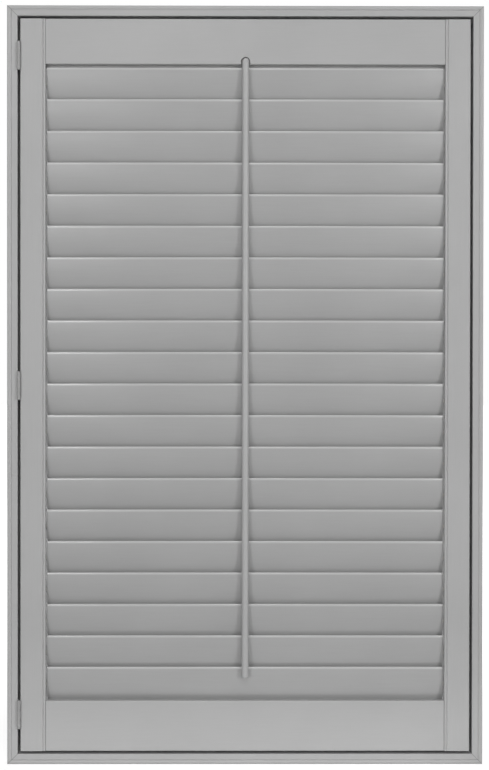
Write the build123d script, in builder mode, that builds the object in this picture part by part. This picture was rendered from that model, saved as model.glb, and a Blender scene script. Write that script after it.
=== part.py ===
# Plantation shutter: one hinged panel of tilting louvers, closed with a front tilt rod, in a mitred frame.
# Millimetres. X runs to the right, Y to the back and Z up. The origin is the middle of the frame's underside.

import os
from math import cos, radians, sin

from build123d import *

# Louvers
louver_count = 20
louver_pitch = 57.15
louver_width = 63.5
louver_thickness = 10.6
louver_length = 719.6
louver_edge_radius = 2.1
louver_rest_tilt = 10.5
louver_end_gap = 1.2
louver_pin_radius = 3.0
louver_pin_flat = 2.5
louver_pin_length = 12.0
pin_bore_sides = 8
running_clearance = 0.05
pin_end_clearance = 0.8

# Panel
panel_thickness = 28.6
stile_width = 45.5
rail_recess = 0.8
top_rail_height = 81.5
bottom_rail_height = 91.5
top_edge_clearance = 5.0
bottom_axis_rise = 29.0
panel_edge_ease = 1.5
bead_width = 4.6
quirk_floor = 0.4
quirk_slope = 1.0

# Rabbets that keep light out where the last louvers close: each rail has a lip past the louver's edge
bottom_rabbet_setback = 2.4
bottom_rabbet_clearance = 5.4
top_lip_drop = 5.5
top_lip_thickness = 11.8

# Tilt rod and its staples
rod_width = 12.6
rod_depth = 11.0
rod_side_depth = 5.0
rod_above_first_staple = 10.1
rod_below_last_staple = 22.0
staple_wire = 1.2
staple_reach = 4.75
staple_bite = 1.5
louver_staple_half_width = 2.5
rod_staple_half_height = 2.0
rod_staple_behind = 1.8
rod_standoff = 2.7

# Arched notch in the top rail that takes the rod's head
notch_side_clearance = 1.7
notch_top_clearance = 3.2
notch_depth = 12.0

# Frame
frame_face = 19.0
frame_depth = 50.0
frame_bead = 7.0
frame_bead_rise = 1.4
frame_groove_width = 1.6
frame_edge_ease = 1.5
panel_gap = 5.0
stop_gap = 3.0
stop_width = 12.0
jamb_screw_radius = 2.25
jamb_screw_depth = 26.0
jamb_screw_spacing = 900.0
jamb_screws_each_side = 2

# Hinges
hinge_height = 50.0
hinge_end_distance = 67.0
hinge_barrel_radius = 3.2
hinge_pin_radius = 1.5
hinge_axis_forward = 3.5
hinge_leaf_thickness = 1.5
hinge_leaf_depth = 22.0
hinge_middle_knuckle = 18.0
hinge_knuckle_gap = 0.4
hinge_leaf_clearance = 0.5

# Magnetic catches behind the latch stile
catch_height = 40.0
catch_width = 5.0
catch_thickness = 1.6
catch_end_distance = 200.0
catch_setback = 6.0
strike_width = 9.0
strike_setback = 2.0
strike_thickness = 1.0

# Places worked out from the sizes above
nose_angle = radians(90 - louver_rest_tilt)
nose_forward = cos(nose_angle)
nose_up = sin(nose_angle)
top_axis_drop = louver_width / 2 * nose_up + top_edge_clearance
stack_height = (louver_count - 1) * louver_pitch
field_height = top_axis_drop + stack_height + bottom_axis_rise
field_width = louver_length + 2 * louver_end_gap
panel_width = field_width + 2 * stile_width
panel_height = top_rail_height + field_height + bottom_rail_height
frame_width = panel_width + 2 * (panel_gap + frame_face)
frame_height = panel_height + 2 * (panel_gap + frame_face)
front_y = -frame_depth / 2
panel_mid_y = front_y + panel_thickness / 2
panel_back_y = front_y + panel_thickness
panel_bottom_z = frame_face + panel_gap
panel_top_z = panel_bottom_z + panel_height
field_bottom_z = panel_bottom_z + bottom_rail_height
field_top_z = field_bottom_z + field_height
stack_bottom_z = field_bottom_z + bottom_axis_rise
stack_middle_z = stack_bottom_z + stack_height / 2
staple_radius = louver_width / 2 + staple_reach
staple_forward_y = panel_mid_y - staple_radius * nose_forward
staple_rise = staple_radius * nose_up
rod_back_y = staple_forward_y - rod_standoff
rail_thickness = panel_thickness - 2 * rail_recess
pin_bore_radius = louver_pin_radius + running_clearance
pin_bore_depth = louver_pin_length - louver_end_gap + pin_end_clearance
hinge_axis_x = -panel_width / 2 - panel_gap / 2
hinge_axis_y = front_y - hinge_axis_forward
hinge_bore_radius = hinge_pin_radius + running_clearance


def save(piece, node):
    """Name a finished piece and write it as its own file."""
    piece.part.label = node
    export_step(piece.part, "parts/" + node + ".step")


def make_frame_member(node, corner, inward, run, length, drilled):
    """Run the moulding from one outer corner, mitre both ends and drill a side member for its screws.

    In its section, x runs from the member's outer side inwards and y from its face to the back.
    """
    start = Vector(*corner)
    end = start + run * length
    stop_front = panel_thickness + stop_gap
    stop_inner = frame_face + stop_width
    groove_end = frame_bead + frame_groove_width
    face_end = frame_face - frame_edge_ease
    with BuildPart() as member:
        with BuildSketch(Plane(origin=start, x_dir=inward, z_dir=run)):
            with BuildLine():
                Line((0, frame_depth), (0, frame_bead_rise))
                ThreePointArc((0, frame_bead_rise), (frame_bead / 2, 0), (frame_bead, frame_bead_rise))
                Line((frame_bead, frame_bead_rise), (groove_end, 0))
                Line((groove_end, 0), (face_end, 0))
                RadiusArc((face_end, 0), (frame_face, frame_edge_ease), -frame_edge_ease)
                Line((frame_face, frame_edge_ease), (frame_face, stop_front))
                Line((frame_face, stop_front), (stop_inner, stop_front))
                Line((stop_inner, stop_front), (stop_inner, frame_depth))
                Line((stop_inner, frame_depth), (0, frame_depth))
            make_face()
        extrude(amount=length)
        split(bisect_by=Plane(origin=start, z_dir=run - inward), keep=Keep.TOP)
        split(bisect_by=Plane(origin=end, z_dir=-run - inward), keep=Keep.TOP)
        if drilled:
            screw_centre = (start.X, front_y + jamb_screw_depth, frame_height / 2)
            with BuildSketch(Plane(origin=screw_centre, x_dir=(0, 1, 0), z_dir=inward)):
                with GridLocations(1, jamb_screw_spacing, 1, jamb_screws_each_side):
                    Circle(jamb_screw_radius)
            extrude(amount=frame_face, mode=Mode.SUBTRACT)
    save(member, node)


def make_stile(node, side):
    """Make an upright with a quirked bead along its inner edge, bored for the louvers' pins.

    Each bore has many flats round the circle that its pin turns in, which keeps the long row of them light.
    """
    half = panel_thickness / 2
    bead_radius = bead_width / 2
    quirk_start = bead_width + quirk_floor
    quirk_end = quirk_start + quirk_slope
    face_end = stile_width - panel_edge_ease
    inner_x = side * field_width / 2
    section = Plane(origin=(inner_x, panel_mid_y, panel_bottom_z), x_dir=(side, 0, 0), z_dir=(0, 0, side))
    with BuildPart() as stile:
        with BuildSketch(section):
            with BuildLine():
                Line((0, 0), (0, half - bead_radius))
                ThreePointArc((0, half - bead_radius), (bead_radius, half), (bead_width, half - bead_radius))
                Line((bead_width, half - bead_radius), (quirk_start, half - bead_radius))
                Line((quirk_start, half - bead_radius), (quirk_end, half))
                Line((quirk_end, half), (face_end, half))
                RadiusArc((face_end, half), (stile_width, half - panel_edge_ease), panel_edge_ease)
                Line((stile_width, half - panel_edge_ease), (stile_width, 0))
                mirror(about=Plane.XZ)
            make_face()
        extrude(amount=side * panel_height)
        stack_middle = (inner_x, panel_mid_y, stack_middle_z)
        with BuildSketch(Plane(origin=stack_middle, x_dir=(0, side, 0), z_dir=(side, 0, 0))):
            with GridLocations(1, louver_pitch, 1, louver_count):
                RegularPolygon(pin_bore_radius, pin_bore_sides, major_radius=False)
        extrude(amount=pin_bore_depth, mode=Mode.SUBTRACT)
    save(stile, node)


def make_top_rail():
    """Make the top rail with a rear lip behind the first louver's edge and an arched notch for the rod's head."""
    rail_front_y = front_y + rail_recess
    notch_radius = rod_width / 2 + notch_side_clearance
    rod_head_z = field_top_z - top_axis_drop + staple_rise + rod_above_first_staple
    notch_centre_z = rod_head_z + notch_top_clearance - notch_radius
    rail_back_y = panel_back_y - rail_recess
    with BuildPart() as rail:
        with BuildSketch(Plane.YZ.offset(-field_width / 2)):
            with Locations((panel_mid_y, field_top_z + top_rail_height / 2)):
                RectangleRounded(rail_thickness, top_rail_height, panel_edge_ease)
            with Locations((rail_back_y, field_top_z - top_lip_drop)):
                Rectangle(top_lip_thickness, top_lip_drop + panel_edge_ease, align=(Align.MAX, Align.MIN))
        extrude(amount=field_width)
        with BuildSketch(Plane.XZ.offset(-rail_front_y)):
            with Locations((0, notch_centre_z)):
                Circle(notch_radius)
            with Locations((0, notch_centre_z)):
                Rectangle(2 * notch_radius, notch_centre_z - field_top_z, align=(Align.CENTER, Align.MAX))
        extrude(amount=-notch_depth, mode=Mode.SUBTRACT)
    save(rail, "top_rail")


def make_bottom_rail():
    """Make the bottom rail, whose rear is rebated so that the last louver closes behind its front lip."""
    rabbet_floor_z = stack_bottom_z - louver_width / 2 * nose_up - bottom_rabbet_clearance
    with BuildPart() as rail:
        with BuildSketch(Plane.YZ.offset(-field_width / 2)):
            with Locations((panel_mid_y, field_bottom_z - bottom_rail_height / 2)):
                RectangleRounded(rail_thickness, bottom_rail_height, panel_edge_ease)
            with Locations((panel_mid_y - bottom_rabbet_setback, rabbet_floor_z)):
                Rectangle(rail_thickness, bottom_rail_height, align=Align.MIN, mode=Mode.SUBTRACT)
        extrude(amount=field_width)
    save(rail, "bottom_rail")


def make_louver(node, axis_z):
    """Make one lens-shaped blade with its end pins and, on its raised front edge, the wire staple.

    The moulded pins have four flats, and run in the bores on the round corners between them.
    """
    edge_centre = louver_width / 2 - louver_edge_radius
    face_radius = (edge_centre**2 + louver_thickness**2 / 4 - louver_edge_radius**2) / (
        louver_thickness - 2 * louver_edge_radius
    )
    spread = face_radius / (face_radius - louver_edge_radius)
    meet_x = edge_centre * spread
    meet_y = louver_thickness / 2 - face_radius + (face_radius - louver_thickness / 2) * spread
    nose = Vector(0, -nose_forward, nose_up)
    blade_end = Plane(origin=(-louver_length / 2, panel_mid_y, axis_z), x_dir=nose, z_dir=(1, 0, 0))
    staple_plane = Plane(origin=(0, panel_mid_y, axis_z), x_dir=(1, 0, 0), z_dir=(0, -nose_up, -nose_forward))
    leg_start = louver_width / 2 - staple_bite
    leg_end = staple_radius + staple_wire / 2
    outer_width = 2 * louver_staple_half_width + staple_wire
    with BuildPart() as louver:
        with BuildSketch(blade_end):
            with BuildLine():
                ThreePointArc((-meet_x, meet_y), (0, louver_thickness / 2), (meet_x, meet_y))
                ThreePointArc((meet_x, meet_y), (louver_width / 2, 0), (meet_x, -meet_y))
                ThreePointArc((meet_x, -meet_y), (0, -louver_thickness / 2), (-meet_x, -meet_y))
                ThreePointArc((-meet_x, -meet_y), (-louver_width / 2, 0), (-meet_x, meet_y))
            make_face()
        extrude(amount=louver_length)
        with BuildSketch(blade_end.offset(-louver_pin_length)):
            Circle(louver_pin_radius)
            Rectangle(2 * louver_pin_flat, 2 * louver_pin_flat, mode=Mode.INTERSECT)
        extrude(amount=louver_length + 2 * louver_pin_length)
        with BuildSketch(staple_plane):
            with Locations((0, leg_start)):
                Rectangle(outer_width, leg_end - leg_start, align=(Align.CENTER, Align.MIN))
            with Locations((0, leg_start)):
                Rectangle(
                    outer_width - 2 * staple_wire,
                    leg_end - leg_start - staple_wire,
                    align=(Align.CENTER, Align.MIN),
                    mode=Mode.SUBTRACT,
                )
        extrude(amount=staple_wire / 2, both=True)
    save(louver, node)


def make_tilt_rod():
    """Make the rod: flat back, rounded front, half-round head and a foot cut square."""
    rod_bottom_z = stack_bottom_z + staple_rise - rod_below_last_staple
    rod_top_z = stack_bottom_z + stack_height + staple_rise + rod_above_first_staple
    rod_length = rod_top_z - rod_bottom_z
    with BuildPart() as rod:
        with BuildSketch(Plane.XY.offset(rod_bottom_z)):
            with BuildLine():
                Line((-rod_width / 2, rod_back_y), (rod_width / 2, rod_back_y))
                Line((rod_width / 2, rod_back_y), (rod_width / 2, rod_back_y - rod_side_depth))
                ThreePointArc(
                    (rod_width / 2, rod_back_y - rod_side_depth),
                    (0, rod_back_y - rod_depth),
                    (-rod_width / 2, rod_back_y - rod_side_depth),
                )
                Line((-rod_width / 2, rod_back_y - rod_side_depth), (-rod_width / 2, rod_back_y))
            make_face()
        extrude(amount=rod_length)
        with BuildSketch(Plane.XZ.offset(-rod_back_y)):
            with Locations((0, rod_top_z - rod_width / 2)):
                Circle(rod_width / 2)
                Rectangle(rod_width, rod_length - rod_width / 2, align=(Align.CENTER, Align.MAX))
        extrude(amount=rod_depth, mode=Mode.INTERSECT)
    save(rod, "tilt_rod")


def make_rod_staples():
    """Make the row of wire staples in the rod's back, each hooked round a louver's staple."""
    outer_height = 2 * rod_staple_half_height + staple_wire
    crown_y = staple_forward_y + rod_staple_behind + staple_wire / 2
    with BuildPart() as staples:
        with BuildSketch(Plane.YZ):
            with Locations((rod_back_y, stack_middle_z + staple_rise)):
                with GridLocations(1, louver_pitch, 1, louver_count):
                    Rectangle(crown_y - rod_back_y, outer_height, align=(Align.MIN, Align.CENTER))
                    Rectangle(
                        crown_y - staple_wire - rod_back_y,
                        outer_height - 2 * staple_wire,
                        align=(Align.MIN, Align.CENTER),
                        mode=Mode.SUBTRACT,
                    )
        extrude(amount=staple_wire / 2, both=True)
    save(staples, "rod_staples")


def make_hinge_leaf(node, plate_x, middle_z, knuckles, holds_pin):
    """Make a hinge leaf from its plate and its knuckles, each given as its lowest point and height.

    One leaf holds the fixed pin in its knuckles, and the other leaf's knuckle is bored to turn on it.
    """
    bottom_z = middle_z - hinge_height / 2
    plate_start_y = hinge_axis_y + hinge_barrel_radius + hinge_leaf_clearance
    plate_end_y = front_y + hinge_leaf_depth
    with BuildPart() as leaf:
        with BuildSketch(Plane.XY.offset(bottom_z)):
            with Locations((plate_x, plate_start_y)):
                Rectangle(hinge_leaf_thickness, plate_end_y - plate_start_y, align=Align.MIN)
        extrude(amount=hinge_height)
        for knuckle_z, knuckle_height in knuckles:
            with BuildSketch(Plane.XY.offset(knuckle_z)):
                with Locations((hinge_axis_x, hinge_axis_y)):
                    Circle(hinge_barrel_radius)
                with Locations((plate_x, hinge_axis_y)):
                    Rectangle(hinge_leaf_thickness, plate_start_y - hinge_axis_y, align=Align.MIN)
                if not holds_pin:
                    with Locations((hinge_axis_x, hinge_axis_y)):
                        Circle(hinge_bore_radius, mode=Mode.SUBTRACT)
            extrude(amount=knuckle_height)
        if holds_pin:
            free_length = hinge_middle_knuckle + 2 * hinge_knuckle_gap
            with BuildSketch(Plane.XY.offset(middle_z - free_length / 2)):
                with Locations((hinge_axis_x, hinge_axis_y)):
                    Circle(hinge_pin_radius)
            extrude(amount=free_length)
    save(leaf, node)


def make_hinge(name, middle_z):
    """Make one butt hinge: a frame leaf with two knuckles and the pin, and a panel leaf with one."""
    bottom_z = middle_z - hinge_height / 2
    outer_height = (hinge_height - hinge_middle_knuckle) / 2 - hinge_knuckle_gap
    lower_knuckle = (bottom_z, outer_height)
    upper_knuckle = (bottom_z + hinge_height - outer_height, outer_height)
    middle_knuckle = (middle_z - hinge_middle_knuckle / 2, hinge_middle_knuckle)
    frame_plate_x = hinge_axis_x - panel_gap / 2
    panel_plate_x = hinge_axis_x + panel_gap / 2 - hinge_leaf_thickness
    make_hinge_leaf(name + "_frame_leaf", frame_plate_x, middle_z, [lower_knuckle, upper_knuckle], True)
    make_hinge_leaf(name + "_panel_leaf", panel_plate_x, middle_z, [middle_knuckle], False)


def make_catches():
    """Make the magnets on the frame's stop and the strike plates on the back of the latch stile."""
    stop_front_y = panel_back_y + stop_gap
    latch_x = panel_width / 2
    middle_z = (panel_bottom_z + panel_top_z) / 2
    catch_spacing = panel_height - 2 * catch_end_distance
    with BuildPart() as magnets:
        with BuildSketch(Plane.XZ.offset(-stop_front_y)):
            with Locations((latch_x - catch_setback, middle_z)):
                with GridLocations(1, catch_spacing, 1, 2):
                    Rectangle(catch_width, catch_height, align=(Align.MIN, Align.CENTER))
        extrude(amount=catch_thickness)
    save(magnets, "magnet_catches")
    with BuildPart() as strikes:
        with BuildSketch(Plane.XZ.offset(-panel_back_y)):
            with Locations((latch_x - strike_setback, middle_z)):
                with GridLocations(1, catch_spacing, 1, 2):
                    Rectangle(strike_width, catch_height, align=(Align.MAX, Align.CENTER))
        extrude(amount=-strike_thickness)
    save(strikes, "strike_plates")


os.makedirs("parts", exist_ok=True)

right = Vector(1, 0, 0)
up = Vector(0, 0, 1)
left_x = -frame_width / 2
right_x = frame_width / 2
make_frame_member("frame_left", (left_x, front_y, 0), right, up, frame_height, True)
make_frame_member("frame_right", (right_x, front_y, frame_height), -right, -up, frame_height, True)
make_frame_member("frame_top", (left_x, front_y, frame_height), -up, right, frame_width, False)
make_frame_member("frame_bottom", (right_x, front_y, 0), up, -right, frame_width, False)

make_stile("stile_left", -1)
make_stile("stile_right", 1)
make_top_rail()
make_bottom_rail()

for number in range(1, louver_count + 1):
    make_louver(f"louver_{number:02d}", stack_bottom_z + (louver_count - number) * louver_pitch)

make_tilt_rod()
make_rod_staples()

make_hinge("hinge_top", panel_top_z - hinge_end_distance)
make_hinge("hinge_middle", (panel_bottom_z + panel_top_z) / 2)
make_hinge("hinge_bottom", panel_bottom_z + hinge_end_distance)

make_catches()
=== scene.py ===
from math import asin, cos, pi, radians, sin

import bmesh
import bpy
from mathutils import Matrix, Vector


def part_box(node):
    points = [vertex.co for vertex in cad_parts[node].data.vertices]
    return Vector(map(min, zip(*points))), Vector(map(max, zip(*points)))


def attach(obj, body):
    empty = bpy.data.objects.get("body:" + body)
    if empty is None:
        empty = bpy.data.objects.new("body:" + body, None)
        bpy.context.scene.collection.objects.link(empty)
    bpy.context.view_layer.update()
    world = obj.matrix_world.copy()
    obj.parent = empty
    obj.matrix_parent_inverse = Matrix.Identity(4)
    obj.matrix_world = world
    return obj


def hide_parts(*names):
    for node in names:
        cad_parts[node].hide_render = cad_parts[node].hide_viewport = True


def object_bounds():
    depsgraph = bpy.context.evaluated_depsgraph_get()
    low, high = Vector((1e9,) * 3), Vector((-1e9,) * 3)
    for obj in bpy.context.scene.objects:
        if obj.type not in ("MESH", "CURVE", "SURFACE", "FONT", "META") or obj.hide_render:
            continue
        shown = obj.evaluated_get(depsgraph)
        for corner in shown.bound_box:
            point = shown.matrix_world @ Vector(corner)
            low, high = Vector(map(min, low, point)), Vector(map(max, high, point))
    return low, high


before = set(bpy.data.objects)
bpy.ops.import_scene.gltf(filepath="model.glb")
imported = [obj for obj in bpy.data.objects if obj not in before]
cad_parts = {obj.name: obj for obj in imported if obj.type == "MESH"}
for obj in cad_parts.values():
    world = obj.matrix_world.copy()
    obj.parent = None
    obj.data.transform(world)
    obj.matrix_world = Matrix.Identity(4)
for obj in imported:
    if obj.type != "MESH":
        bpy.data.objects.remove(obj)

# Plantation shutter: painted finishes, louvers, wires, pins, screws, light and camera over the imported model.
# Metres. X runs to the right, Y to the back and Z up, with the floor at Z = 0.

packed_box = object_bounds()
mm = 0.001
upright = Vector((0, 0, 1))

# Louvers, as packed
louver_count = 20
louver_pitch = 57.15 * mm
louver_width = 63.5 * mm
louver_thickness = 10.6 * mm
louver_length = 719.6 * mm
louver_edge_radius = 2.1 * mm
louver_end_ease = 0.5 * mm
louver_rest_tilt = radians(10.5)
louver_axis_y = -10.7 * mm
lowest_axis_z = 144.5 * mm

# Nylon end pins of the louvers. Each is set into the blade and has a thin flange against the stile.
pin_radius = 3.0 * mm
pin_length = 12.0 * mm
pin_flange_radius = 4.6 * mm
pin_flange_thickness = 0.7 * mm
pin_set_in = 2.0 * mm
pin_ease = 0.25 * mm
pin_play = 0.02 * mm

# Staples that link the tilt rod to the louvers
wire_radius = 0.6 * mm
wire_bend = 0.9 * mm
staple_reach = 4.75 * mm
louver_staple_bite = 4.0 * mm
louver_staple_half_width = 3.1 * mm
rod_staple_bite = 3.0 * mm
rod_staple_half_height = 2.6 * mm
rod_staple_behind = 2.4 * mm
rod_standoff = 2.7 * mm

# Panel and frame
panel_edge_x = 406.5 * mm
panel_gap = 5.0 * mm
rail_half_length = 361.0 * mm
quirk_x = 366.1 * mm
frame_half_width = 430.5 * mm
frame_middle_z = packed_box[1][2] / 2

# Hinges. The middle screw of each leaf sits farther forward than the other two. Each end of a pin has a low
# dome, given as steps of height past the barrel's end and radius.
hinges = ("hinge_top", "hinge_middle", "hinge_bottom")
hinge_axis_x = -409.0 * mm
hinge_axis_y = -28.5 * mm
hinge_height = 50.0 * mm
hinge_leaf_thickness = 1.5 * mm
hinge_screw_spacing = 17.0 * mm
hinge_middle_screw_y = -16.5 * mm
hinge_outer_screw_y = -10.0 * mm
pin_tip_steps = ((-0.3, 2.6), (0.0, 2.75), (0.35, 2.6), (0.9, 2.0), (1.25, 1.1), (1.35, 0.3))
pin_tip_profile = [(height * mm, radius * mm) for height, radius in pin_tip_steps]

# Strike plates
strike_plate_height = 40.0 * mm
strike_screw_offset = 13.0 * mm
strike_screw_inset = 2.5 * mm

# Screw heads: radius and height
hinge_screw = (2.9 * mm, 0.45 * mm)
tension_screw = (2.4 * mm, 0.35 * mm)
strike_screw = (1.9 * mm, 0.25 * mm)

# How many flats stand for a full turn or an arc
round_sides = 20
wire_sides = 10
screw_sides = 24
bend_steps = 5
blade_face_steps = 22
blade_nose_steps = 10

# Paint, as its darker and lighter tone. The louvers' grey is painted darker than the panel and frame's, as
# painted shade.
paint = ("#A8A8A8", "#ADADAD")
shaded_louver_paint = ("#9F9F9F", "#A3A3A3")
# The hinges' grey is darker than the paint: painted shade.
shaded_hinge_enamel = ("#8E8E8E", "#969695")
# A paler grey for the louvers' noses: a painted highlight.
highlight_paint = "#BCBCBC"

# Timber grain: fibres about 0.9 mm wide and 70 mm long, along the piece
fibre_width = 0.9 * mm
fibre_length = 70.0 * mm
upright_grain = (1 / fibre_width, 1 / fibre_width, 1 / fibre_length)
level_grain = (1 / fibre_length, 1 / fibre_width, 1 / fibre_width)


def linear(hex_colour):
    """Turn an sRGB hex colour into a linear one."""
    channels = [int(hex_colour[i:i + 2], 16) / 255 for i in (1, 3, 5)]
    return [c / 12.92 if c <= 0.04045 else ((c + 0.055) / 1.055) ** 2.4 for c in channels] + [1.0]


def add(tree, kind, inputs, **settings):
    """Add a node with its settings, and give each input its value or the output that feeds it."""
    made = tree.nodes.new("ShaderNode" + kind)
    for name, value in settings.items():
        setattr(made, name, value)
    for socket, value in inputs.items():
        if isinstance(value, bpy.types.NodeSocket):
            tree.links.new(value, made.inputs[socket])
        else:
            made.inputs[socket].default_value = value
    return made


def empty_tree(holder):
    """Switch on the nodes of a material or world, and clear them."""
    holder.use_nodes = True
    holder.node_tree.nodes.clear()
    return holder.node_tree


def new_material(name):
    """Start a material with one shader and the object's own coordinates."""
    material = bpy.data.materials.new(name)
    tree = empty_tree(material)
    shader = add(tree, "BsdfPrincipled", {})
    add(tree, "OutputMaterial", {"Surface": shader.outputs["BSDF"]})
    place = add(tree, "TexCoord", {}).outputs["Object"]
    return material, tree, shader, place


def painted_timber(name, low, high, grain_scale, line_distance=None, line_tone=0.5, painted_edge_highlights=False):
    """Sprayed satin lacquer on primed basswood.

    The eye gets an even mid grey with a soft sheen, a fine orange peel about 1 mm across, and a hint of the
    timber's grain along the piece. Where two pieces are glued up, a line of shade marks the joint under the
    paint. It is drawn about 1.5 mm wide, so that it shows in a view of the whole shutter. In a stile's narrow
    groove the line is painted paler instead: painted light that lifts the shade in the groove. On a louver the
    two rounded edges take a paler grey as a painted highlight, and are shinier than its faces.
    """
    material, tree, shader, place = new_material(name)
    peel = add(tree, "TexNoise", {"Vector": place, "Scale": 1 / (1.1 * mm), "Detail": 1.5})
    along = add(tree, "Mapping", {"Vector": place, "Scale": grain_scale})
    grain = add(tree, "TexNoise", {"Vector": along.outputs[0], "Scale": 1.0, "Detail": 3.0, "Roughness": 0.6})
    cloud = add(tree, "TexNoise", {"Vector": place, "Scale": 1 / (180 * mm), "Detail": 2.0})
    tone = add(tree, "MapRange", {"Value": cloud.outputs[0], "From Min": 0.3, "From Max": 0.7})
    colour = add(
        tree, "Mix", {"Factor": tone.outputs[0], "A": linear(low), "B": linear(high)}, data_type="RGBA"
    ).outputs["Result"]
    streak = add(
        tree,
        "MapRange",
        {"Value": grain.outputs[0], "From Min": 0.35, "From Max": 0.65, "To Min": 0.975, "To Max": 1.01},
    )
    colour = add(
        tree,
        "Mix",
        {"Factor": 1.0, "A": colour, "B": streak.outputs[0]},
        data_type="RGBA",
        blend_type="MULTIPLY",
    ).outputs["Result"]
    raised = add(
        tree, "Bump", {"Height": grain.outputs[0], "Strength": 0.35, "Distance": 0.05 * mm}
    ).outputs["Normal"]
    raised = add(
        tree, "Bump", {"Height": peel.outputs[0], "Strength": 0.5, "Distance": 0.03 * mm, "Normal": raised}
    ).outputs["Normal"]
    if line_distance:
        apart = line_distance(tree, place)
        line = add(
            tree,
            "MapRange",
            {"Value": apart, "From Min": 0.2 * mm, "From Max": 1.1 * mm, "To Min": line_tone, "To Max": 1.0},
            interpolation_type="SMOOTHSTEP",
        )
        colour = add(
            tree,
            "Mix",
            {"Factor": 1.0, "A": colour, "B": line.outputs[0]},
            data_type="RGBA",
            blend_type="MULTIPLY",
        ).outputs["Result"]
        if line_tone < 1:
            raised = add(
                tree,
                "Bump",
                {"Height": line.outputs[0], "Strength": 0.6, "Distance": 0.3 * mm, "Normal": raised},
            ).outputs["Normal"]
    roughness = add(
        tree,
        "MapRange",
        {"Value": peel.outputs[0], "From Min": 0.3, "From Max": 0.7, "To Min": 0.36, "To Max": 0.46},
    ).outputs[0]
    # The louver's noses get a paler grey, a painted highlight, and a lower roughness.
    if painted_edge_highlights:
        nose_highlight = add(tree, "Attribute", {}, attribute_name="nose_highlight_mask").outputs["Fac"]
        colour = add(
            tree, "Mix", {"Factor": nose_highlight, "A": colour, "B": linear(highlight_paint)}, data_type="RGBA"
        ).outputs["Result"]
        roughness = add(tree, "Mix", {"Factor": nose_highlight, "A": roughness, "B": 0.2}).outputs["Result"]
    tree.links.new(colour, shader.inputs["Base Color"])
    tree.links.new(roughness, shader.inputs["Roughness"])
    tree.links.new(raised, shader.inputs["Normal"])
    shader.inputs["IOR"].default_value = 1.48
    return material


def mitre_distance(tree, place):
    """Give how far a point lies from the nearest of the frame's four mitre cuts."""
    parts = add(tree, "SeparateXYZ", {"Vector": place})
    across = add(tree, "Math", {0: parts.outputs["X"]}, operation="ABSOLUTE")
    from_side = add(tree, "Math", {0: frame_half_width, 1: across.outputs[0]}, operation="SUBTRACT")
    height = add(tree, "Math", {0: parts.outputs["Z"], 1: frame_middle_z}, operation="SUBTRACT")
    rise = add(tree, "Math", {0: height.outputs[0]}, operation="ABSOLUTE")
    from_end = add(tree, "Math", {0: frame_middle_z, 1: rise.outputs[0]}, operation="SUBTRACT")
    uneven = add(tree, "Math", {0: from_side.outputs[0], 1: from_end.outputs[0]}, operation="SUBTRACT")
    return add(tree, "Math", {0: uneven.outputs[0]}, operation="ABSOLUTE").outputs[0]


def rail_end_distance(tree, place):
    """Give how far a point on a rail lies from the stile that it meets."""
    parts = add(tree, "SeparateXYZ", {"Vector": place})
    across = add(tree, "Math", {0: parts.outputs["X"]}, operation="ABSOLUTE")
    return add(tree, "Math", {0: rail_half_length, 1: across.outputs[0]}, operation="SUBTRACT").outputs[0]


def quirk_distance(tree, place):
    """Give how far a point on a stile lies from the narrow groove beside its bead."""
    parts = add(tree, "SeparateXYZ", {"Vector": place})
    across = add(tree, "Math", {0: parts.outputs["X"]}, operation="ABSOLUTE")
    offset = add(tree, "Math", {0: across.outputs[0], 1: quirk_x}, operation="SUBTRACT")
    return add(tree, "Math", {0: offset.outputs[0]}, operation="ABSOLUTE").outputs[0]


def painted_steel(low, high):
    """A darker grey baked on pressed steel hinges, darkened as painted shade: smoother and a little glossier
    than on the timber.
    """
    material, tree, shader, place = new_material("painted_steel")
    peel = add(tree, "TexNoise", {"Vector": place, "Scale": 1 / (0.7 * mm), "Detail": 1.0})
    raised = add(tree, "Bump", {"Height": peel.outputs[0], "Strength": 0.4, "Distance": 0.015 * mm})
    gloss = add(tree, "MapRange", {"Value": peel.outputs[0], "To Min": 0.26, "To Max": 0.38})
    cloud = add(tree, "TexNoise", {"Vector": place, "Scale": 1 / (9 * mm)})
    colour = add(
        tree, "Mix", {"Factor": cloud.outputs[0], "A": linear(low), "B": linear(high)}, data_type="RGBA"
    )
    tree.links.new(colour.outputs["Result"], shader.inputs["Base Color"])
    tree.links.new(gloss.outputs[0], shader.inputs["Roughness"])
    tree.links.new(raised.outputs[0], shader.inputs["Normal"])
    return material


def bright_wire():
    """Galvanised staple wire, drawn: clear metal with faint dull patches about 0.5 mm across."""
    material, tree, shader, place = new_material("bright_wire")
    patches = add(tree, "TexNoise", {"Vector": place, "Scale": 1 / (0.5 * mm), "Detail": 3.0})
    dull = add(tree, "MapRange", {"Value": patches.outputs[0], "To Min": 0.22, "To Max": 0.42})
    shader.inputs["Base Color"].default_value = linear("#C6C8CA")
    shader.inputs["Metallic"].default_value = 1.0
    tree.links.new(dull.outputs[0], shader.inputs["Roughness"])
    return material


def zinc_plate():
    """Bright zinc plating on a pressed or turned steel piece, brushed finely: a slightly uneven shine."""
    material, tree, shader, place = new_material("zinc_plate")
    lines = add(tree, "Mapping", {"Vector": place, "Scale": (1 / (0.3 * mm), 1 / (0.3 * mm), 1 / (9 * mm))})
    brush = add(tree, "TexNoise", {"Vector": lines.outputs[0], "Scale": 1.0, "Detail": 2.0})
    raised = add(tree, "Bump", {"Height": brush.outputs[0], "Strength": 0.3, "Distance": 0.01 * mm})
    dull = add(tree, "MapRange", {"Value": brush.outputs[0], "To Min": 0.28, "To Max": 0.45})
    shader.inputs["Base Color"].default_value = linear("#B9BDC1")
    shader.inputs["Metallic"].default_value = 1.0
    tree.links.new(dull.outputs[0], shader.inputs["Roughness"])
    tree.links.new(raised.outputs[0], shader.inputs["Normal"])
    return material


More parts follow.
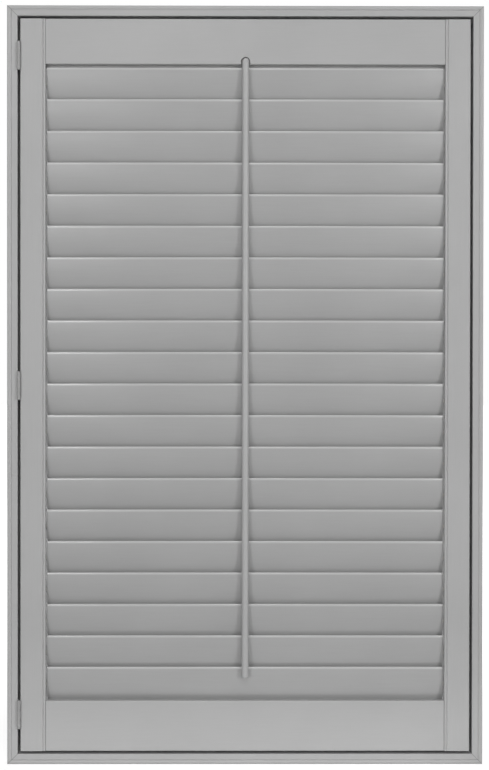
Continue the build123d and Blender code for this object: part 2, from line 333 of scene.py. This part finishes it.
def sintered_ferrite():
    """Pressed and fired ferrite magnet: nearly black and matt, with a grit about 0.3 mm across."""
    material, tree, shader, place = new_material("sintered_ferrite")
    grit = add(tree, "TexNoise", {"Vector": place, "Scale": 1 / (0.3 * mm), "Detail": 4.0})
    colour = add(
        tree,
        "Mix",
        {"Factor": grit.outputs[0], "A": linear("#1E1E20"), "B": linear("#343436")},
        data_type="RGBA",
    )
    raised = add(tree, "Bump", {"Height": grit.outputs[0], "Strength": 0.5, "Distance": 0.03 * mm})
    tree.links.new(colour.outputs["Result"], shader.inputs["Base Color"])
    tree.links.new(raised.outputs[0], shader.inputs["Normal"])
    shader.inputs["Roughness"].default_value = 0.68
    return material


def moulded_nylon():
    """Injection moulded natural nylon: milky white with a dull, waxy shine."""
    material, tree, shader, place = new_material("moulded_nylon")
    flow = add(tree, "TexNoise", {"Vector": place, "Scale": 1 / (2.5 * mm), "Detail": 2.0})
    colour = add(
        tree,
        "Mix",
        {"Factor": flow.outputs[0], "A": linear("#DAD8CF"), "B": linear("#E9E7DF")},
        data_type="RGBA",
    )
    tree.links.new(colour.outputs["Result"], shader.inputs["Base Color"])
    shader.inputs["Roughness"].default_value = 0.42
    shader.inputs["IOR"].default_value = 1.53
    return material


def seen_directly(tree):
    """Give 1 for what is seen straight, in a shine or through glass, and 0 for light on the object."""
    rays = add(tree, "LightPath", {})
    total = add(
        tree, "Math", {0: rays.outputs["Is Camera Ray"], 1: rays.outputs["Is Glossy Ray"]}, operation="ADD"
    )
    total = add(
        tree,
        "Math",
        {0: total.outputs[0], 1: rays.outputs["Is Transmission Ray"]},
        operation="ADD",
        use_clamp=True,
    )
    return total.outputs[0]


def studio_floor():
    """A matt white sweep. Seen directly it is white paper that keeps the soft shadow under the shutter."""
    material = bpy.data.materials.new("studio_floor")
    tree = empty_tree(material)
    place = add(tree, "TexCoord", {}).outputs["Object"]
    far = add(tree, "VectorMath", {0: place}, operation="LENGTH")
    glow = add(
        tree,
        "MapRange",
        {"Value": far.outputs["Value"], "From Min": 0.5, "From Max": 1.6, "To Min": 0.62, "To Max": 1.0},
        interpolation_type="SMOOTHSTEP",
    )
    paper = add(tree, "BsdfDiffuse", {"Color": linear("#E4E4E4")})
    shine = add(tree, "Emission", {"Color": linear("#FFFFFF"), "Strength": glow.outputs[0]})
    lit = add(tree, "AddShader", {0: paper.outputs[0], 1: shine.outputs[0]})
    seen = add(tree, "MixShader", {0: seen_directly(tree), 1: paper.outputs[0], 2: lit.outputs[0]})
    add(tree, "OutputMaterial", {"Surface": seen.outputs[0]})
    return material


def put_in_scene(name, content):
    """Link a mesh, lamp or camera to the scene as an object of this name."""
    thing = bpy.data.objects.new(name, content)
    bpy.context.scene.collection.objects.link(thing)
    return thing


def mesh_piece(name, shape, material, body, smooth_below=35):
    """Turn a finished bmesh into a named piece that rides on a body. Edges under this angle look smooth."""
    mesh = bpy.data.meshes.new(name)
    bmesh.ops.recalc_face_normals(shape, faces=shape.faces)
    shape.to_mesh(mesh)
    shape.free()
    mesh.shade_smooth()
    mesh.set_sharp_from_angle(angle=radians(smooth_below))
    mesh.materials.append(material)
    piece = put_in_scene(name, mesh)
    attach(piece, body)
    return piece


def band(shape, ring, following):
    """Skin the strip between two rings of vertices."""
    for corners in zip(ring, ring[1:] + ring[:1], following[1:] + following[:1], following):
        shape.faces.new(corners)


def loft(shape, rings):
    """Skin a row of rings of points, each given in order round the piece, and close both ends."""
    made = [[shape.verts.new(point) for point in ring] for ring in rings]
    for ring, following in zip(made, made[1:]):
        band(shape, ring, following)
    shape.faces.new(reversed(made[0]))
    shape.faces.new(made[-1])


def round_turn(steps):
    """Angles once round a circle."""
    return [2 * pi * i / steps for i in range(steps)]


def arc(centre, radius, start, end, steps):
    """Points along an arc, both ends included."""
    turns = [start + (end - start) * i / steps for i in range(steps + 1)]
    return [(centre[0] + radius * cos(a), centre[1] + radius * sin(a)) for a in turns]


def blade_outline(inset):
    """The lens section of a louver, smaller all round by inset: two shallow faces and two tight noses."""
    nose_radius = louver_edge_radius - inset
    nose_x = louver_width / 2 - louver_edge_radius
    half = louver_thickness / 2
    full_radius = (nose_x**2 + half**2 - louver_edge_radius**2) / (2 * (half - louver_edge_radius))
    face_radius = full_radius - inset
    face_centre = half - full_radius
    swing = asin(nose_x / (full_radius - louver_edge_radius))
    upper = arc((0, face_centre), face_radius, pi / 2 - swing, pi / 2 + swing, blade_face_steps)
    left = arc((-nose_x, 0), nose_radius, pi / 2 + swing, 3 * pi / 2 - swing, blade_nose_steps)
    lower = arc((0, -face_centre), face_radius, 3 * pi / 2 - swing, 3 * pi / 2 + swing, blade_face_steps)
    right = arc((nose_x, 0), nose_radius, -pi / 2 + swing, pi / 2 - swing, blade_nose_steps)
    return upper[:-1] + left[:-1] + lower[:-1] + right[:-1]


def louver_frame(axis_z):
    """Where a louver is at rest: up along its width, out of its front face, and a point on its axis."""
    up = Vector((0, -sin(louver_rest_tilt), cos(louver_rest_tilt)))
    out = Vector((0, -cos(louver_rest_tilt), -sin(louver_rest_tilt)))
    return up, out, Vector((0, louver_axis_y, axis_z))


def make_blade(louver, axis_z):
    """A louver's blade, with an eased edge round each end, and both noses marked for a painted highlight."""
    up, out, axis = louver_frame(axis_z)
    ease = louver_end_ease
    half = louver_length / 2
    eased_end = ((half, ease), (half - 0.3 * ease, 0.3 * ease), (half - ease, 0))
    stations = [(-x, inset) for x, inset in eased_end] + [(x, inset) for x, inset in reversed(eased_end)]
    shape = bmesh.new()
    rings = [
        [axis + Vector((x, 0, 0)) + up * u + out * v for u, v in blade_outline(inset)]
        for x, inset in stations
    ]
    loft(shape, rings)
    piece = mesh_piece(louver + "_blade", shape, louver_finish, louver, smooth_below=25)
    # Mark the nose vertices that take the painted highlight.
    nose_highlight = piece.data.attributes.new("nose_highlight_mask", "FLOAT", "POINT")
    nose_start = louver_width / 2 - louver_edge_radius
    for vertex, value in zip(piece.data.vertices, nose_highlight.data):
        value.value = float(abs((vertex.co - axis).dot(up)) > nose_start)
    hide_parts(louver)


def make_pins(louver, axis_z):
    """The two nylon end pins of a louver."""
    blade_end = louver_length / 2
    flange_face = blade_end + pin_flange_thickness
    tip = blade_end + pin_length
    profile = (
        (blade_end - pin_set_in, pin_flange_radius - pin_ease),
        (flange_face - pin_ease, pin_flange_radius),
        (flange_face, pin_flange_radius - pin_ease),
        (flange_face, pin_radius + pin_ease),
        (flange_face + pin_ease, pin_radius - pin_play),
        (tip - 2 * pin_ease, pin_radius - pin_play),
        (tip, pin_radius - 2 * pin_ease),
    )
    turns = round_turn(round_sides)
    shape = bmesh.new()
    for side in (-1, 1):
        rings = [
            [(side * x, louver_axis_y + radius * cos(a), axis_z + radius * sin(a)) for a in turns]
            for x, radius in profile
        ]
        loft(shape, rings)
    mesh_piece(louver + "_pins", shape, nylon, louver)


def staple_line(half_width, crown):
    """The middle line of a staple as (across, along) points: up a leg, round the crown and down the other."""
    corner = crown - wire_bend
    inner = half_width - wire_bend
    left = arc((-inner, corner), wire_bend, pi, pi / 2, bend_steps)
    right = arc((inner, corner), wire_bend, pi / 2, 0, bend_steps)
    return [(-half_width, 0)] + left + right + [(half_width, 0)]


def sweep_wire(shape, points, side):
    """Skin a round wire along flat points; side is square to the plane that they lie in."""
    turns = round_turn(wire_sides)
    rings = []
    for i, point in enumerate(points):
        before = points[max(i - 1, 0)]
        after = points[min(i + 1, len(points) - 1)]
        inward = (after - before).normalized().cross(side)
        rings.append([point + wire_radius * (cos(a) * inward + sin(a) * side) for a in turns])
    loft(shape, rings)


def make_louver_staple(louver, axis_z):
    """The staple driven into a louver's raised front edge."""
    up, out, axis = louver_frame(axis_z)
    root = louver_width / 2 - louver_staple_bite
    crown = louver_width / 2 + staple_reach - root
    line = staple_line(louver_staple_half_width, crown)
    shape = bmesh.new()
    sweep_wire(shape, [axis + Vector((u, 0, 0)) + up * (root + v) for u, v in line], out)
    piece = mesh_piece(louver + "_staple", shape, wire, louver, smooth_below=60)


def make_rod_staples():
    """The twenty staples in the back of the tilt rod, each hooked round a louver's staple."""
    crown = rod_staple_bite + rod_standoff + rod_staple_behind
    line = staple_line(rod_staple_half_height, crown)
    shape = bmesh.new()
    for number in range(louver_count):
        up, _, axis = louver_frame(lowest_axis_z + number * louver_pitch)
        link = axis + up * (louver_width / 2 + staple_reach)
        root_y = link.y - rod_standoff - rod_staple_bite
        sweep_wire(shape, [Vector((0, root_y + v, link.z + u)) for u, v in line], Vector((1, 0, 0)))
    piece = mesh_piece("rod_staple_wires", shape, wire, "tilt_rod", smooth_below=60)
    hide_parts("rod_staples")


def add_screw(shape, centre, out, radius, height, slotted=False):
    """A low domed screw head on an upright face, with a cross recess or a straight slot cut into it."""
    arm = radius * 0.62
    half = radius * 0.13
    if slotted:
        recess = [(-arm, -half), (arm, -half), (arm, half), (-arm, half)]
    else:
        quarter = [(half, half), (half, arm), (-half, arm)]
        quarter_turns = ((1, 0), (0, 1), (-1, 0), (0, -1))
        recess = [(c * x - s * y, s * x + c * y) for c, s in quarter_turns for x, y in quarter]
    rim = [(radius * cos(a), radius * sin(a)) for a in round_turn(screw_sides)]
    top = [(x * 0.8, y * 0.8) for x, y in rim]
    across = out.cross(upright)
    foot, shoulder, crown, lip, floor = [
        [shape.verts.new(centre + upright * x + across * y + out * level * height) for x, y in outline]
        for outline, level in ((rim, 0), (rim, 0.45), (top, 1), (recess, 1), (recess, 0.1))
    ]
    band(shape, foot, shoulder)
    band(shape, shoulder, crown)
    band(shape, floor, lip)
    shape.faces.new(floor)
    edges = [shape.edges.get((line[i - 1], line[i])) for line in (crown, lip) for i in range(len(line))]
    bmesh.ops.triangle_fill(shape, use_beauty=True, use_dissolve=False, edges=edges)


def make_hinge_screws(hinge):
    """Three screws in each leaf of a hinge, on the faces that look at each other across the gap."""
    low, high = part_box(hinge + "_panel_leaf")
    middle_z = (low[2] + high[2]) / 2
    face = panel_gap / 2 - hinge_leaf_thickness
    for leaf, side, body in (("_frame_leaf", -1, "frame"), ("_panel_leaf", 1, "panel")):
        shape = bmesh.new()
        for step in (-1, 0, 1):
            screw_y = hinge_outer_screw_y if step else hinge_middle_screw_y
            centre = Vector((hinge_axis_x + side * face, screw_y, middle_z + step * hinge_screw_spacing))
            add_screw(shape, centre, Vector((-side, 0, 0)), *hinge_screw)
        piece = mesh_piece(hinge + leaf + "_screws", shape, hinge_paint, body, smooth_below=40)


def make_pin_tips(hinge):
    """The domed tips at both ends of a hinge's pin."""
    low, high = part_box(hinge + "_panel_leaf")
    middle_z = (low[2] + high[2]) / 2
    shape = bmesh.new()
    for end in (-1, 1):
        rings = []
        for height, radius in pin_tip_profile:
            level = middle_z + end * (hinge_height / 2 + height)
            circle = arc((hinge_axis_x, hinge_axis_y), radius, 0, 2 * pi, round_sides)[:-1]
            rings.append([(x, y, level) for x, y in circle])
        loft(shape, rings)
    piece = mesh_piece(hinge + "_pin_tips", shape, hinge_paint, "frame", smooth_below=50)


def make_tension_screws():
    """Slotted tension screws on the latch stile's outer edge, one for each louver's pin."""
    shape = bmesh.new()
    for number in range(louver_count):
        centre = Vector((panel_edge_x, louver_axis_y, lowest_axis_z + number * louver_pitch))
        add_screw(shape, centre, Vector((1, 0, 0)), *tension_screw, slotted=True)
    mesh_piece("tension_screws", shape, zinc, "panel", smooth_below=40)


def make_strike_screws():
    """Two small screws in each strike plate, clear of the magnet."""
    low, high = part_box("strike_plates")
    shape = bmesh.new()
    for plate_z in (low[2] + strike_plate_height / 2, high[2] - strike_plate_height / 2):
        for offset in (-strike_screw_offset, strike_screw_offset):
            centre = Vector((low[0] + strike_screw_inset, high[1], plate_z + offset))
            add_screw(shape, centre, Vector((0, 1, 0)), *strike_screw)
    piece = mesh_piece("strike_screws", shape, zinc, "panel", smooth_below=40)


def finish_nodes(material, *nodes):
    """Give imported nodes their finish."""
    for node in nodes:
        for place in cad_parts[node].material_slots:
            place.material = material


def aimed(place, aim):
    """The turn that points a lamp or camera from its place to its aim."""
    return (Vector(aim) - Vector(place)).to_track_quat("-Z", "Y")


def add_lamp(name, place, aim, size, power):
    """A large soft box that points at a place on the shutter."""
    lamp = bpy.data.lights.new(name, "AREA")
    lamp.shape = "RECTANGLE"
    lamp.size, lamp.size_y = size
    lamp.energy = power
    holder = put_in_scene(name, lamp)
    holder.location = place
    holder.rotation_euler = aimed(place, aim).to_euler()
    holder.visible_camera = False


# Finishes
# line_tone 1.5 paints the stile's groove beside the bead paler: painted light over the groove's shade.
stile_finish = painted_timber("painted_stile", *paint, upright_grain, quirk_distance, line_tone=1.5)
rail_finish = painted_timber("painted_rail", *paint, level_grain, rail_end_distance)
jamb_finish = painted_timber("painted_frame_side", *paint, upright_grain, mitre_distance)
head_finish = painted_timber("painted_frame_end", *paint, level_grain, mitre_distance)
# The louvers take the darker grey as painted shade, and a paler grey on their noses as a painted highlight.
louver_finish = painted_timber("painted_louver", *shaded_louver_paint, level_grain, painted_edge_highlights=True)
hinge_paint = painted_steel(*shaded_hinge_enamel)
wire = bright_wire()
zinc = zinc_plate()
ferrite = sintered_ferrite()
nylon = moulded_nylon()

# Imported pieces
finish_nodes(jamb_finish, "frame_left", "frame_right")
finish_nodes(head_finish, "frame_top", "frame_bottom")
finish_nodes(stile_finish, "stile_left", "stile_right", "tilt_rod")
finish_nodes(rail_finish, "top_rail", "bottom_rail")
finish_nodes(ferrite, "magnet_catches")
finish_nodes(zinc, "strike_plates")
for hinge in hinges:
    finish_nodes(hinge_paint, hinge + "_frame_leaf", hinge + "_panel_leaf")

# Pieces made here
for hinge in hinges:
    make_hinge_screws(hinge)
    make_pin_tips(hinge)
for number in range(1, louver_count + 1):
    louver = f"louver_{number:02d}"
    axis_z = lowest_axis_z + (louver_count - number) * louver_pitch
    make_blade(louver, axis_z)
    make_pins(louver, axis_z)
    make_louver_staple(louver, axis_z)
make_rod_staples()
make_tension_screws()
make_strike_screws()

# Floor
floor_shape = bmesh.new()
bmesh.ops.create_grid(floor_shape, x_segments=2, y_segments=2, size=30.0)
floor_mesh = bpy.data.meshes.new("floor")
floor_shape.to_mesh(floor_mesh)
floor_shape.free()
floor_mesh.materials.append(studio_floor())
floor = put_in_scene("floor", floor_mesh)

# World: a pale room, white where the camera sees it
world = bpy.data.worlds.new("pale_room")
bpy.context.scene.world = world
sky = empty_tree(world)
room = add(sky, "Background", {"Color": linear("#FFFFFF"), "Strength": 0.09})
backdrop = add(sky, "Background", {"Color": linear("#FFFFFF"), "Strength": 1.0})
chosen = add(sky, "MixShader", {0: seen_directly(sky), 1: room.outputs[0], 2: backdrop.outputs[0]})
add(sky, "OutputWorld", {"Surface": chosen.outputs[0]})

# Lamps, each with its place, aim, size and watts: one soft box in front and one high above it, a stronger one
# at the right than at the left, one behind for the shutter's back, and a low one that stands for the bright
# ground in front
add_lamp("front_soft_box", (0.2, -11.0, 6.2), (0, 0, 0.5), (3.4, 2.7), 140)
add_lamp("top_soft_box", (0.8, -12.0, 15.0), (0, 0, 0.6), (4.2, 2.1), 640)
add_lamp("right_soft_box", (4.4, -5.4, 1.8), (0, 0, 0.5), (1.4, 1.8), 140)
add_lamp("left_soft_box", (-3.4, -5.7, 1.8), (0, 0, 0.5), (1.4, 1.8), 106)
add_lamp("back_soft_box", (0.6, 6.0, 4.0), (0, 0, 0.6), (3.0, 2.0), 150)
add_lamp("ground_soft_box", (0, -0.16, 0.01), (0, 0, 0.08), (0.95, 0.05), 0.2)

# Camera: straight in front, a little above the middle and rolled by a hair, as in the photo
camera_distance = 3.2
camera_rise = 0.033
camera_left = 0.02
camera_roll = radians(0.06)
front_y = -0.025
aim = Vector((-0.00145, front_y, frame_middle_z + 0.0014))
stand = aim + Vector((-camera_left, -camera_distance, camera_rise))
camera_data = bpy.data.cameras.new("camera")
camera_data.lens = 82.74
camera_data.sensor_width = 36.0
camera = put_in_scene("camera", camera_data)
turn = aimed(stand, aim).to_matrix().to_4x4()
camera.matrix_world = Matrix.Translation(stand) @ turn @ Matrix.Rotation(camera_roll, 4, "Z")
bpy.context.scene.camera = camera

bpy.context.scene.view_settings.view_transform = "Standard"
